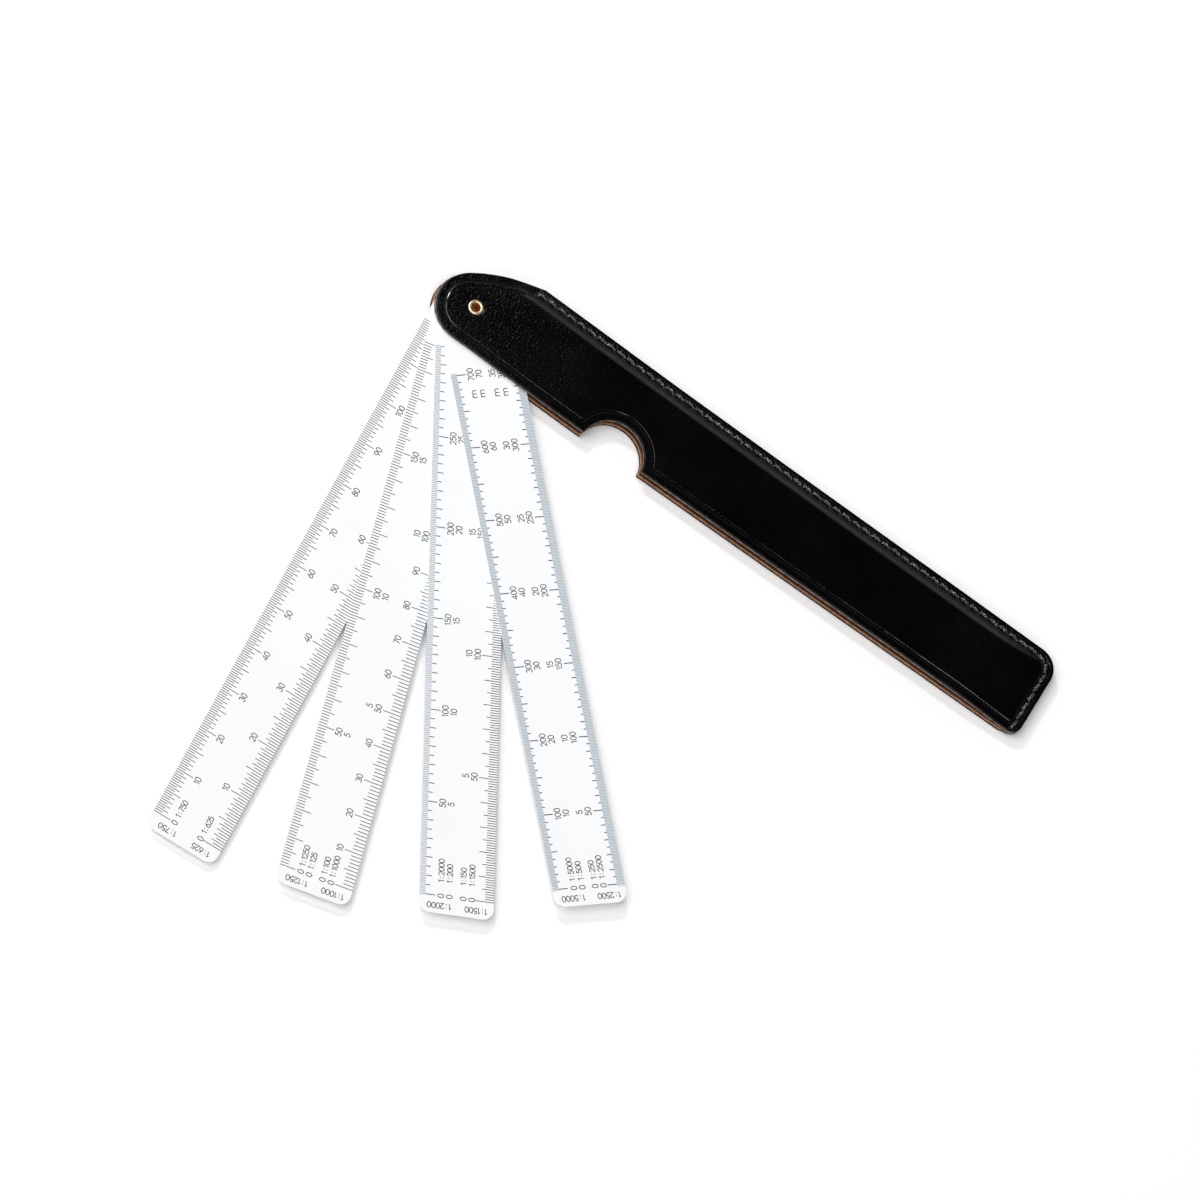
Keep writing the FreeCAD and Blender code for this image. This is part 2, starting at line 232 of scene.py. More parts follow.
def from_open_edge(x, y):
    """Distance inside the open edge: its straight runs, the notch, pivot end and shoulder."""
    notch = np.hypot(x - NOTCH_CENTRE[0], y - NOTCH_CENTRE[1]) - NOTCH_RADIUS
    turn = np.degrees(np.arctan2(y - PIVOT_END[1], x - PIVOT_END[0])) % 360
    pivot = PIVOT_END_RADIUS - np.hypot(x - PIVOT_END[0], y - PIVOT_END[1])
    pivot = np.where((turn > SHOULDER_DEG + 90) & (turn < 271), pivot, 1e3)
    lean = np.degrees(np.arctan2(y - SHOULDER_CENTRE[1], x - SHOULDER_CENTRE[0]))
    shoulder = SHOULDER_RADIUS - np.hypot(x - SHOULDER_CENTRE[0], y - SHOULDER_CENTRE[1])
    shoulder = np.where((lean > 103) & (lean < SHOULDER_DEG + 91), shoulder, 1e3)
    return np.minimum(np.minimum(from_open_line(x, y), notch), np.minimum(pivot, shoulder))


def from_seam_edge(x, y):
    """Distance inside the spine and the closed end."""
    spine = (spine_y(x) - y) * cosine(SPINE_TAPER)
    return rounded(spine, END_X - x, SPINE_CORNER)


def from_any_edge(x, y):
    corner = rounded(from_open_line(x, y), END_X - x, OPEN_CORNER)
    return np.minimum(np.minimum(from_open_edge(x, y), from_seam_edge(x, y)), corner)


def bowed(points):
    """Points of the sheath, with the slight sideways curve that the sewn leather has taken.

    Its open edge also pulls in round the pivot and stands out towards the notch.
    """
    x = points[:, 0]
    bent = points.copy()
    slack = np.interp(x, PULL_X, PULL_IN)
    bent[:, 1] += slack * ease(points[:, 1], -2.8, -7.5)
    bent[:, 1] -= SIDEWAYS_CURVE * ease(x, 10, 60) * ease(x, 175, 80)
    return bent


# ---- stitches' places ----

def seam_path(spacing=0.05):
    inset = SEAM_INSET
    start_y = spine_y(STITCH_START_X) - inset / cosine(SPINE_TAPER)
    bend = SPINE_CORNER - inset
    spine_out = unit(90 - SPINE_TAPER)
    path = [
        straight([STITCH_START_X, start_y], SPINE_ROUND + bend * spine_out, spacing),
        sweep(SPINE_ROUND, bend, 90 - SPINE_TAPER, 0, spacing),
        straight(SPINE_ROUND + [bend, 0], [END_X - inset, STITCH_END_Y], spacing),
        [[END_X - inset, STITCH_END_Y]],
    ]
    return np.concatenate(path)


def needle_points():
    path = seam_path()
    step = np.hypot(*np.diff(path, axis=0).T)
    along = np.concatenate([[0], np.cumsum(step)])
    places = np.linspace(0, along[-1], round(along[-1] / STITCH_PITCH) + 1)
    return np.stack([np.interp(places, along, path[:, i]) for i in (0, 1)], -1)


NEEDLES = needle_points()


# ---- form of the leather ----

def ease(value, low, high):
    part = np.clip((value - low) / (high - low), 0, 1)
    return part * part * (3 - 2 * part)


def soft_clamp(value, width):
    """Rises from 0 to 1 with the value, with both bends rounded over about that width."""
    def bend(t):
        return width * np.logaddexp(0, t / width)
    return bend(value) - bend(value - 1)


def soft_least(first, second, width):
    near = np.clip(width - np.abs(first - second), 0, None) / width
    return np.minimum(first, second) - near * near * width / 4


def raised(x, y, across, kink, end, bend):
    """How far the leather is up from the seam to the pocket's roof, from 0 to 1.

    Each pair gives where that slope starts at the seam and where it reaches the roof.
    """
    spine = (spine_y(x) - y - across[0]) / (across[1] - across[0])
    shoulder = (kink[0] - x) / (kink[0] - kink[1])
    closed = (end[0] - x) / (end[0] - end[1])
    side = -soft_least(-spine, -shoulder, 0.3)
    return soft_clamp(soft_least(side, closed, 0.3), bend)


def crease_share(x, y):
    """1 along the pressed crease, which ends at the seam."""
    from_start = np.where(y > 4, ease(x, 12.3, 11.5), 1.0)
    return from_start * ease(x, END_X - CREASE_FADE[0], END_X - CREASE_FADE[1])


def pressed(edge):
    """1 on the floor of the crease; its inner wall is an even slope and its outer one is eased."""
    inner = np.clip((CREASE_INSET + CREASE_INNER - edge) / CREASE_INNER_WALL, 0, 1)
    return inner * ease(edge, CREASE_INSET - CREASE_OUTER, CREASE_INSET - CREASE_OUTER_FLOOR)


def outside_z(x, y, end):
    """Height of a cover's skin, with the front cover's side up."""
    up = raised(x, y, SPINE_SLOPE_OUT, SHOULDER_STEP_OUT, end, 0.1)
    z = SEAM_TOP_Z + (TOP_Z - SEAM_TOP_Z) * up
    edge = from_open_edge(x, y)
    # the rim droops along the shoulder, towards the start of the seam
    droop = ease(x, 1.5, 9.0) * (y > 4) * np.clip(1 - edge / DROOP_WIDTH, 0, 1)
    z = z - SHOULDER_DROOP * up * droop
    share = crease_share(x, y)
    # the crease is pressed less deep halfway along the open edge
    share = share * (0.35 + 0.65 * np.maximum(ease(x, 56, 46), ease(x, 132, 152)))
    z = z - CREASE_PRESS * share * pressed(edge)
    z = z - CREASE_HOLLOW * share * ease(edge, CREASE_INSET + 0.2, CREASE_INSET - 0.2)
    seam = from_seam_edge(x, y)
    stitched = ease(x, STITCH_START_X - 0.9, STITCH_START_X - 0.2) * ease(y, -9.3, -8.7)
    channel = ease(seam, 0.5, 1.7) * ease(seam, 3.5, 2.6)
    z = z - (SEAM_TOP_Z - CHANNEL_Z) * channel * stitched
    near = (seam < 3.2) & (x > 10)
    if np.any(near):
        gap = np.full(np.shape(x), 9.0)
        px, py = np.asarray(x)[near], np.asarray(y)[near]
        gap[near] = np.min(np.hypot(px[:, None] - NEEDLES[:, 0], py[:, None] - NEEDLES[:, 1]), 1)
        z = z - NEEDLE_DIMPLE * np.exp(-(gap / DIMPLE_RADIUS) ** 2)
    z = z - HEAD_DENT * np.exp(-((np.hypot(x, y) - HEAD_RIM - 0.1) / DENT_WIDTH) ** 2)
    waves = np.sin(x * 0.31 + 1.3 * np.sin(y * 0.27)) + np.sin(y * 0.43 + x * 0.12)
    z = z - SKIN_WAVES * waves * up
    edge = np.clip(from_any_edge(x, y), 0, RIM_ROUND)
    return z - RIM_ROUND + np.sqrt(RIM_ROUND ** 2 - (RIM_ROUND - edge) ** 2) - SKIN_BELOW_TOP


def at_pivot_end(x):
    """0 at the eyelet, rising to 1 at the cut edge of the pivot end."""
    return ease(x, -3.5, -10)


def inside_z(x, y, end):
    """Height of a cover's flesh side: the pocket's roof, and the seam plane round it."""
    up = raised(x, y, SPINE_SLOPE_IN, SHOULDER_STEP_IN, end, 0.05)
    return SEAM_Z + FLESH_ABOVE_SEAM + (ROOF_Z - SEAM_Z) * up


def gradient_normals(height, points, upward):
    """Smooth normals of a height over the plan, pointing up or down."""
    x, y = points[:, 0], points[:, 1]
    step = 0.02
    across = (height(x + step, y) - height(x - step, y)) / (2 * step)
    along = (height(x, y + step) - height(x, y - step)) / (2 * step)
    normals = np.stack([-across, -along, np.ones(len(x))], -1)
    normals /= np.linalg.norm(normals, axis=1)[:, None]
    return normals if upward else -normals


def offset_lines(insets, keep, spacing):
    """Pieces of inset paths where keep holds, as point lists."""
    lines = []
    for inset in insets:
        path = edge_path(inset, spacing)
        path = np.concatenate([path, path[:1]])
        held = keep(path[:, 0], path[:, 1])
        start = 0
        for i in range(1, len(path) + 1):
            if i == len(path) or held[i] != held[start]:
                if held[start] and i - start > 1:
                    lines.append(path[start:i])
                start = i
    return lines


def step_lines(across, kink, end, levels, spacing):
    """Lines along the slopes round the pocket, clear of the cut edge."""
    lines = []
    for level in levels:
        drop = across[0] + (across[1] - across[0]) * level
        left = kink[0] + (kink[1] - kink[0]) * level
        right = end[0] + (end[1] - end[0]) * level
        y_left, y_right = spine_y(left) - drop, spine_y(right) - drop
        path = np.concatenate([
            straight([right, -12], [right, y_right], spacing),
            straight([right, y_right], [left, y_left], spacing),
            straight([left, y_left], [left, 17], spacing),
        ])
        path = path[from_any_edge(path[:, 0], path[:, 1]) > 0.45]
        if len(path) > 1:
            gaps = np.hypot(*np.diff(path, axis=0).T) > 3 * spacing
            lines += np.split(path, np.where(gaps)[0] + 1)
    return [line for line in lines if len(line) > 1]


def plan(rim, loops, lines, grid, clear):
    """Triangles over the leather, through its rim and every line, with grid points between.

    Returns the points, the triangles and where each rim and hole point is among them.
    """
    hole = sweep((0, 0), BARREL + 0.06, 0, 360, 0.2)
    points, edges = [], []

    def add(path, closed):
        first = sum(len(p) for p in points)
        points.append(np.asarray(path))
        count = len(path)
        edges.extend((first + i, first + i + 1) for i in range(count - 1))
        if closed:
            edges.append((first + count - 1, first))

    add(rim, True)
    add(hole, True)
    for loop in loops:
        add(loop, True)
    for line in lines:
        add(line, False)
    rng = np.random.default_rng(11)
    xs, ys = np.meshgrid(np.arange(-11, 179, grid), np.arange(-11.5, 17, grid))
    free = np.stack([xs.ravel(), ys.ravel()], -1) + rng.uniform(-0.3, 0.3, (xs.size, 2)) * grid
    free = free[from_any_edge(free[:, 0], free[:, 1]) > clear]
    free = free[np.hypot(free[:, 0], free[:, 1]) > BARREL + 0.3]
    points.append(free)
    every = np.concatenate(points)
    out = delaunay_2d_cdt([Vector(p) for p in every], edges, [], 1, 1e-6)
    place = {}
    for new, old in enumerate(out[3]):
        for index in old:
            place[index] = new
    flat = np.array([tuple(v) for v in out[0]])
    faces = [f for f in out[2] if np.hypot(*flat[list(f)].mean(0)) > BARREL + 0.03]
    rim_at = [place[i] for i in range(len(rim))]
    hole_at = [place[len(rim) + i] for i in range(len(hole))]
    return flat, faces, rim_at, hole_at


def wall_rows(path_out, path_in, outward):
    """Rows of points down a cut edge, between the skin's rim and the flesh side's rim."""
    rows = []
    for share in CUT_ROWS:
        row = path_out * (1 - share) + path_in * share
        length = np.arange(len(row)) * RIM_SPACING
        pull = (0.5 + 0.25 * np.sin(length * 1.7 + share * 9)
                + 0.25 * np.sin(length * 4.1 - share * 5))
        row[:, :2] -= outward[:, :2] * (CUT_WAVER * pull * math.sin(math.pi * share))[:, None]
        rows.append(row)
    return rows


def outward_of(path):
    """Directions that point out of a closed plan path which runs anticlockwise."""
    along = np.roll(path, -1, 0) - np.roll(path, 1, 0)
    out = np.stack([along[:, 1], -along[:, 0], np.zeros(len(path))], -1)
    return out / np.linalg.norm(out, axis=1)[:, None]


def put_in_scene(name, data):
    made = bpy.data.objects.new(name, data)
    bpy.context.scene.collection.objects.link(made)
    return made


def mesh_object(name, points, faces, body, materials, face_material=None, normals=None):
    """A named piece from points in mm, which rides on a body."""
    mesh = bpy.data.meshes.new(name)
    mesh.from_pydata((np.asarray(points) * MM).tolist(), [], [tuple(map(int, f)) for f in faces])
    for material in materials:
        mesh.materials.append(material)
    if face_material is not None:
        mesh.polygons.foreach_set("material_index", np.asarray(face_material, dtype=np.int32))
    mesh.polygons.foreach_set("use_smooth", np.ones(len(mesh.polygons), dtype=bool))
    if normals is not None:
        mesh.normals_split_custom_set(np.asarray(normals, dtype=np.float32).tolist())
    mesh.update()
    piece = put_in_scene(name, mesh)
    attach(piece, body)
    return piece


def leather_cover(name, node, end_out, end_in, under, materials):
    """One cover as a closed skin: outside, cut edge, flesh side and the eyelet's hole."""
    def skin(x, y):
        return outside_z(x, y, end_out)

    def flesh(x, y):
        return inside_z(x, y, end_in)

    rim = edge_path(0.0)
    loops = [edge_path(inset) for inset in SKIN_LOOPS]
    crease = offset_lines(
        CREASE_LINES, lambda x, y: ((x < 12.4) | (y < 1.0)) & (x < END_X - 3.4), 0.5)
    channel = offset_lines(
        CHANNEL_LINES, lambda x, y: (x > 12.6) & ((y > 3.0) | (x > END_X - 3.2)) & (y > -8.9), 0.4)
    slopes = step_lines(SPINE_SLOPE_OUT, SHOULDER_STEP_OUT, end_out, SKIN_SLOPE_LINES, 0.6)
    top_points, top_faces, top_rim, top_hole = plan(rim, loops, crease + channel + slopes, 0.9, 0.5)
    slopes = step_lines(SPINE_SLOPE_IN, SHOULDER_STEP_IN, end_in, FLESH_SLOPE_LINES, 1.2)
    low_points, low_faces, low_rim, low_hole = plan(
        rim, [edge_path(inset) for inset in FLESH_LOOPS], slopes, 2.5, 1.3)

    def rise(flat, height):
        return np.column_stack([flat, height(flat[:, 0], flat[:, 1])])

    top, low = rise(top_points, skin), rise(low_points, flesh)
    top[:, 0] += (BACK_LEAN if under else FRONT_LEAN) * at_pivot_end(top[:, 0])
    top_normals = gradient_normals(skin, top_points, True)
    low_normals = gradient_normals(flesh, low_points, False)
    # the rounded arris turns the skin's normal outwards at the rim
    outward = outward_of(rim)
    top_normals[top_rim] = (outward + [0, 0, RIM_TILT]) / math.hypot(1, RIM_TILT)
    points = [top, low]
    normals = [top_normals, low_normals]
    faces = list(top_faces) + [tuple(len(top) + i for i in f[::-1]) for f in low_faces]
    # the arris next to the cut edge is burnished like it, not glazed like the skin
    inset = from_any_edge(top_points[:, 0], top_points[:, 1])
    kinds = [1 if inset[list(f)].max() < ARRIS else 0 for f in top_faces] + [2] * len(low_faces)
    loops_normals = [top_normals[list(f)] for f in top_faces]
    loops_normals += [low_normals[list(f[::-1])] for f in low_faces]
    # flesh points hold 1 plus their distance inside the rim, the mask of the painted shade deep in
    # the pocket
    depth = [np.zeros(len(top)), 1 + np.clip(from_any_edge(low[:, 0], low[:, 1]), 0, 2)]
    count = len(rim)
    tilt = LEAN_TILT * at_pivot_end(rim[:, 0]) * (not under)
    cut_normals = outward + np.outer(tilt, [0, 0, 1])
    row_ids = [np.array(top_rim)]
    total = len(top) + len(low)
    for share, row in zip(CUT_ROWS, wall_rows(top[top_rim], low[low_rim], outward)):
        row_ids.append(total + np.arange(count))
        points.append(row)
        depth.append(np.full(count, share))
        total += count
    row_ids.append(len(top) + np.array(low_rim))
    for upper, lower in zip(row_ids, row_ids[1:]):
        for i in range(count):
            j = (i + 1) % count
            faces.append((upper[i], lower[i], lower[j], upper[j]))
            kinds.append(1)
            loops_normals.append(cut_normals[[i, i, j, j]])
    hole_count = len(top_hole)
    inward = -np.column_stack([top_points[top_hole], np.zeros(hole_count)])
    inward /= np.linalg.norm(inward, axis=1)[:, None]
    for i in range(hole_count):
        j = (i + 1) % hole_count
        faces.append((top_hole[i], top_hole[j], len(top) + low_hole[j], len(top) + low_hole[i]))
        kinds.append(1)
        loops_normals.append(inward[[i, j, j, i]])
    points = np.concatenate(points)
    loop_normals = np.concatenate(loops_normals)
    if under:
        points[:, 2] = 2 * SEAM_Z - points[:, 2]
        faces = [tuple(f)[::-1] for f in faces]
        flipped, start = [], 0
        for f in faces:
            flipped.append(loop_normals[start:start + len(f)][::-1])
            start += len(f)
        loop_normals = np.concatenate(flipped) * [1, 1, -1]
    piece = mesh_object(name, bowed(points), faces, "sheath", materials, kinds,
                        loop_normals)
    smooth = pressed(from_open_edge(top_points[:, 0], top_points[:, 1]))
    smooth = smooth * crease_share(top_points[:, 0], top_points[:, 1])
    smooth = np.concatenate([smooth, np.zeros(len(points) - len(top))])
    for layer, values in (("through_leather_and_pocket_shade", np.concatenate(depth)), ("pressed_smooth", smooth)):
        piece.data.attributes.new(layer, "FLOAT", "POINT").data.foreach_set("value", values)
    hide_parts(node)


# ---- thread ----

def tube(path, radius, sides, first):
    """Round closed tube along a path; its points and faces, numbered from first."""
    along = np.gradient(path, axis=0)
    along /= np.linalg.norm(along, axis=1)[:, None]
    side = np.cross(along, [0.0, 0.0, 1.0])
    flat = np.linalg.norm(side, axis=1) < 1e-3
    side[flat] = side[~flat].mean(0)
    side /= np.linalg.norm(side, axis=1)[:, None]
    up = np.cross(side, along)
    turn = np.linspace(0, 2 * math.pi, sides, endpoint=False)
    rings = path[:, None] + radius * (
        side[:, None] * np.cos(turn)[None, :, None] + up[:, None] * np.sin(turn)[None, :, None])
    points = rings.reshape(-1, 3)
    faces = []
    for ring in range(len(path) - 1):
        for i in range(sides):
            j = (i + 1) % sides
            a, b = first + ring * sides, first + (ring + 1) * sides
            faces.append((a + i, a + j, b + j, b + i))
    last = first + (len(path) - 1) * sides
    faces.append(tuple(first + i for i in range(sides))[::-1])
    faces.append(tuple(last + i for i in range(sides)))
    return points, faces


def stitch_row(name, node, under, material):
    """Every stitch of one side: two plies twisted together, dipping into the leather."""
    points, faces, total = [], [], 0
    part = np.linspace(0, 1, 25)
    for number, (start, end) in enumerate(zip(NEEDLES, NEEDLES[1:])):
        along = (end - start) / np.hypot(*(end - start))
        left = np.array([-along[1], along[0]])
        slant = STITCH_SLANT * (1 - 2 * part)
        reach = np.hypot(*(end - start))
        forward = STITCH_END_GAP + (reach - 2 * STITCH_END_GAP) * part
        place = start + np.outer(forward, along) + np.outer(slant, left)
        dive = np.abs(2 * part - 1) ** 3
        z = CHANNEL_Z + STITCH_ABOVE_CHANNEL - STITCH_DIVE * dive
        z = z + STITCH_UNEVEN * math.sin(number * 2.3)
        middle = np.column_stack([place, z])
        twist = 2 * math.pi * PLY_TURNS * part + number * PLY_SHIFT
        for ply in (0, math.pi):
            aside = PLY_ASIDE * np.cos(twist + ply)
            above = PLY_ABOVE * np.sin(twist + ply)
            path = middle + np.column_stack([np.outer(aside, left), above])
            new_points, new_faces = tube(path, PLY_RADIUS, 10, total)
            points.append(new_points)
            faces += new_faces
            total += len(new_points)
    points = np.concatenate(points)
    if under:
        points[:, 2] = 2 * SEAM_Z - points[:, 2]
        faces = [f[::-1] for f in faces]
    piece = mesh_object(name, bowed(points), faces, "sheath", [material])
    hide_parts(node)


# ---- eyelet ----

def bow(start, end, bulge, count):
    """Points of a shallow arc from start towards end, with the end left out."""
    start, end = np.array(start, float), np.array(end, float)
    part = np.linspace(0, 1, count + 1)[:-1]
    chord = end - start
    left = np.array([-chord[1], chord[0]])
    return start + np.outer(part, chord) + np.outer(4 * bulge * part * (1 - part), left)


def brass_eyelet(material):
    """Tubular rivet, turned about its axis: bore, rolled lip, head, barrel and sunk roll."""
    middle = (BORE + HEAD_RIM) / 2
    turn = np.radians(np.linspace(180, 0, 21))
    head = np.stack([middle + (HEAD_RIM - middle) * np.cos(turn),
                     TOP_Z + 0.02 + (HEAD_TOP_Z - TOP_Z - 0.02) * np.sin(turn)], -1)
    profile = np.concatenate([
        bow((BORE, ROLL_BOTTOM_Z + ROLL_MOUTH_DEPTH), (BORE, TOP_Z + 0.02), 0.0, 8),
        head,
        bow((HEAD_RIM - 0.08, TOP_Z - 0.05), (BARREL, TOP_Z - 0.03), 0.0, 2),
        bow((BARREL, TOP_Z - 0.03), (BARREL, ROLL_TOP_Z), 0.0, 6),
        bow((BARREL, ROLL_TOP_Z), (ROLL_RIM, ROLL_TOP_Z - 0.06), 0.0, 2),
        bow((ROLL_RIM, ROLL_TOP_Z - 0.06), (BORE + ROLL_MOUTH_WIDTH, ROLL_BOTTOM_Z), 0.17, 8),
        bow((BORE + ROLL_MOUTH_WIDTH, ROLL_BOTTOM_Z), (BORE, ROLL_BOTTOM_Z + ROLL_MOUTH_DEPTH),
            0.2, 6),
    ])
    sides, count = 96, len(profile)
    turn = np.linspace(0, 2 * math.pi, sides, endpoint=False)
    points = np.stack([
        np.outer(np.cos(turn), profile[:, 0]),
        np.outer(np.sin(turn), profile[:, 0]),
        np.broadcast_to(profile[:, 1], (sides, count)),
    ], -1).reshape(-1, 3)
    faces = []
    for side in range(sides):
        here, onward = side * count, (side + 1) % sides * count
        for i in range(count):
            j = (i + 1) % count
            faces.append((here + i, here + j, onward + j, onward + i))
    piece = mesh_object("eyelet_turned", points, faces, "sheath", [material])
    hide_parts("eyelet")


# ---- printed scales ----

INK_BOTTOM, INK_TOP, TINT_TOP = -0.004, 0.010, 0.005
FINE, TINT, PALE_TINT = 1, 2, 3


def round_stroke(cx, cy, rx, ry, start, end, count=10, square=2.0):
    """Points of an elliptic stroke in glyph space; square above 2 fills its corners out."""
    turn = np.radians(np.linspace(start, end, count + 1))
    c, s = np.cos(turn), np.sin(turn)
    power = 2.0 / square
    return np.stack([
        cx + rx * np.sign(c) * np.abs(c) ** power, cy + ry * np.sign(s) * np.abs(s) ** power], -1)


def line_stroke(*corners):
    return np.array(corners, float)


# Strokes of each sign in a box one tall, and how wide the sign is
SIGNS = {
    "0": (0.66, [round_stroke(0.33, 0.5, 0.33, 0.5, 0, 360, 22, 2.1)]),
    "1": (0.36, [line_stroke((0.0, 0.76), (0.24, 1.0), (0.24, 0.0))]),
    "2": (0.60, [np.concatenate([round_stroke(0.30, 0.70, 0.30, 0.30, 165, -38, 11),
                                 line_stroke((0.0, 0.0), (0.62, 0.0))])]),
    "3": (0.60, [np.concatenate([round_stroke(0.28, 0.755, 0.25, 0.245, 155, -78, 9),
                                 round_stroke(0.28, 0.27, 0.31, 0.27, 78, -155, 11)])]),
    "4": (0.68, [line_stroke((0.52, 0.0), (0.52, 1.0), (0.0, 0.26), (0.70, 0.26))]),
    "5": (0.60, [np.concatenate([line_stroke((0.54, 1.0), (0.10, 1.0), (0.05, 0.55)),
                                 round_stroke(0.27, 0.33, 0.32, 0.33, 118, -150, 13)])]),
    "6": (0.64, [line_stroke((0.44, 1.0), (0.05, 0.45)),
                 round_stroke(0.32, 0.32, 0.32, 0.32, 0, 360, 18)]),
    "7": (0.58, [line_stroke((0.0, 1.0), (0.58, 1.0), (0.16, 0.0))]),
    "8": (0.60, [round_stroke(0.30, 0.765, 0.235, 0.235, 0, 360, 16),
                 round_stroke(0.30, 0.27, 0.30, 0.27, 0, 360, 18)]),
    "9": (0.64, [line_stroke((0.20, 0.0), (0.59, 0.55)),
                 round_stroke(0.32, 0.68, 0.32, 0.32, 0, 360, 18)]),
    ":": (0.62, [line_stroke((0.28, 0.11), (0.28, 0.19)), line_stroke((0.28, 0.66), (0.28, 0.74))]),
    "m": (1.10, [line_stroke((0.0, 0.0), (0.0, 0.72)),
                 np.concatenate([round_stroke(0.275, 0.44, 0.275, 0.28, 180, 0, 9),
                                 line_stroke((0.55, 0.0))]),
                 np.concatenate([round_stroke(0.825, 0.44, 0.275, 0.28, 180, 0, 9),
                                 line_stroke((1.10, 0.0))])]),
}


class Print:
    """Ink lines of one blade, gathered as thin closed strips that lie on its top face."""

    def __init__(self):
        self.points, self.faces, self.kinds, self.total = [], [], [], 0

    def strip(self, path, width, kind=0, top=INK_TOP):
        """One stroke of that width along a path on the blade, with mitred bends."""
        path = np.asarray(path, float)
        closed = len(path) > 3 and np.hypot(*(path[0] - path[-1])) < 1e-6
        if closed:
            path = path[:-1]
            ahead, behind = np.roll(path, -1, 0) - path, path - np.roll(path, 1, 0)
        else:
            ahead = np.diff(path, axis=0)
            ahead = np.concatenate([ahead, ahead[-1:]])
            behind = np.concatenate([ahead[:1], ahead[:-1]])
        ahead = ahead / np.linalg.norm(ahead, axis=1)[:, None]
        behind = behind / np.linalg.norm(behind, axis=1)[:, None]
        middle = ahead + behind
        middle /= np.maximum(np.linalg.norm(middle, axis=1)[:, None], 1e-9)
        aside = np.stack([-middle[:, 1], middle[:, 0]], -1)
        cosine = np.clip(np.sum(middle * ahead, 1), 0.5, 1)
        aside = aside * (width / 2 / cosine)[:, None]
        if not closed:
            path = path.copy()
            path[0] -= ahead[0] * width * 0.35
            path[-1] += ahead[-1] * width * 0.35
        count, base = len(path), self.total
        for flat in (path + aside, path - aside):
            for z in (top, INK_BOTTOM):
                self.points.append(np.column_stack([flat, np.full(count, z)]))
        self.total += 4 * count
        # the four lines of points: left top, left bottom, right top, right bottom
        lines = [base, base + count, base + 3 * count, base + 2 * count]
        spans = count if closed else count - 1
        for i in range(spans):
            j = (i + 1) % count
            for a, b in zip(lines, lines[1:] + lines[:1]):
                self.faces.append((a + i, b + i, b + j, a + j))
        if not closed:
            self.faces.append(tuple(lines[::-1]))
            self.faces.append(tuple(a + count - 1 for a in lines))
        self.kinds += [kind] * (len(self.faces) - len(self.kinds))

    def words(self, text, middle, reading, rising, height, spread=0.88, start=None, gap=0.175):
        """A line of signs, centred on middle or begun at start, reading along one direction."""
        size = [SIGNS[sign][0] * spread for sign in text]
        length = sum(size) + gap * (len(text) - 1)
        reading, rising = np.array(reading, float), np.array(rising, float)
        if start is None:
            start = np.array(middle, float) - reading * length * height / 2 - rising * height / 2
        else:
            start = np.array(start, float) - rising * height / 2
        pen = 0.0
        for sign, wide in zip(text, size):
            for stroke in SIGNS[sign][1]:
                x = (pen + stroke[:, 0] * spread) * height
                y = stroke[:, 1] * height
                self.strip(start + np.outer(x, reading) + np.outer(y, rising), SIGN_LINE)
            pen += wide + gap


def tick_row(ink, side, pitch, end, classes, widths, tint):
    """Graduation marks along one edge of a blade.

    The side is -1 or 1. Pitch is the distance of the finest marks and end the last mark's
    place. Classes are (every so many marks, length), with the longest last. The finest scales
    have a pale tint behind thin grey marks.
    """
    edge = side * (HALF_BLADE - 0.05)
    if tint:
        width = classes[0][1] - 0.05
        middle = edge - side * width / 2
        ink.strip([(0.0, middle), (end, middle)], width, tint, TINT_TOP)
    fine_end = side * (HALF_BLADE - classes[0][1])
    for number in range(int(round(end / pitch)) + 1):
        length, at = classes[0][1], number * pitch
        for every, longer in classes[1:]:
            if number % every == 0:
                length = longer
        ink.strip([(at, edge), (at, fine_end)], widths[0], FINE if tint else 0)
        if length > classes[0][1]:
            ink.strip([(at, fine_end - side * 0.1), (at, side * (HALF_BLADE - length))], widths[1])


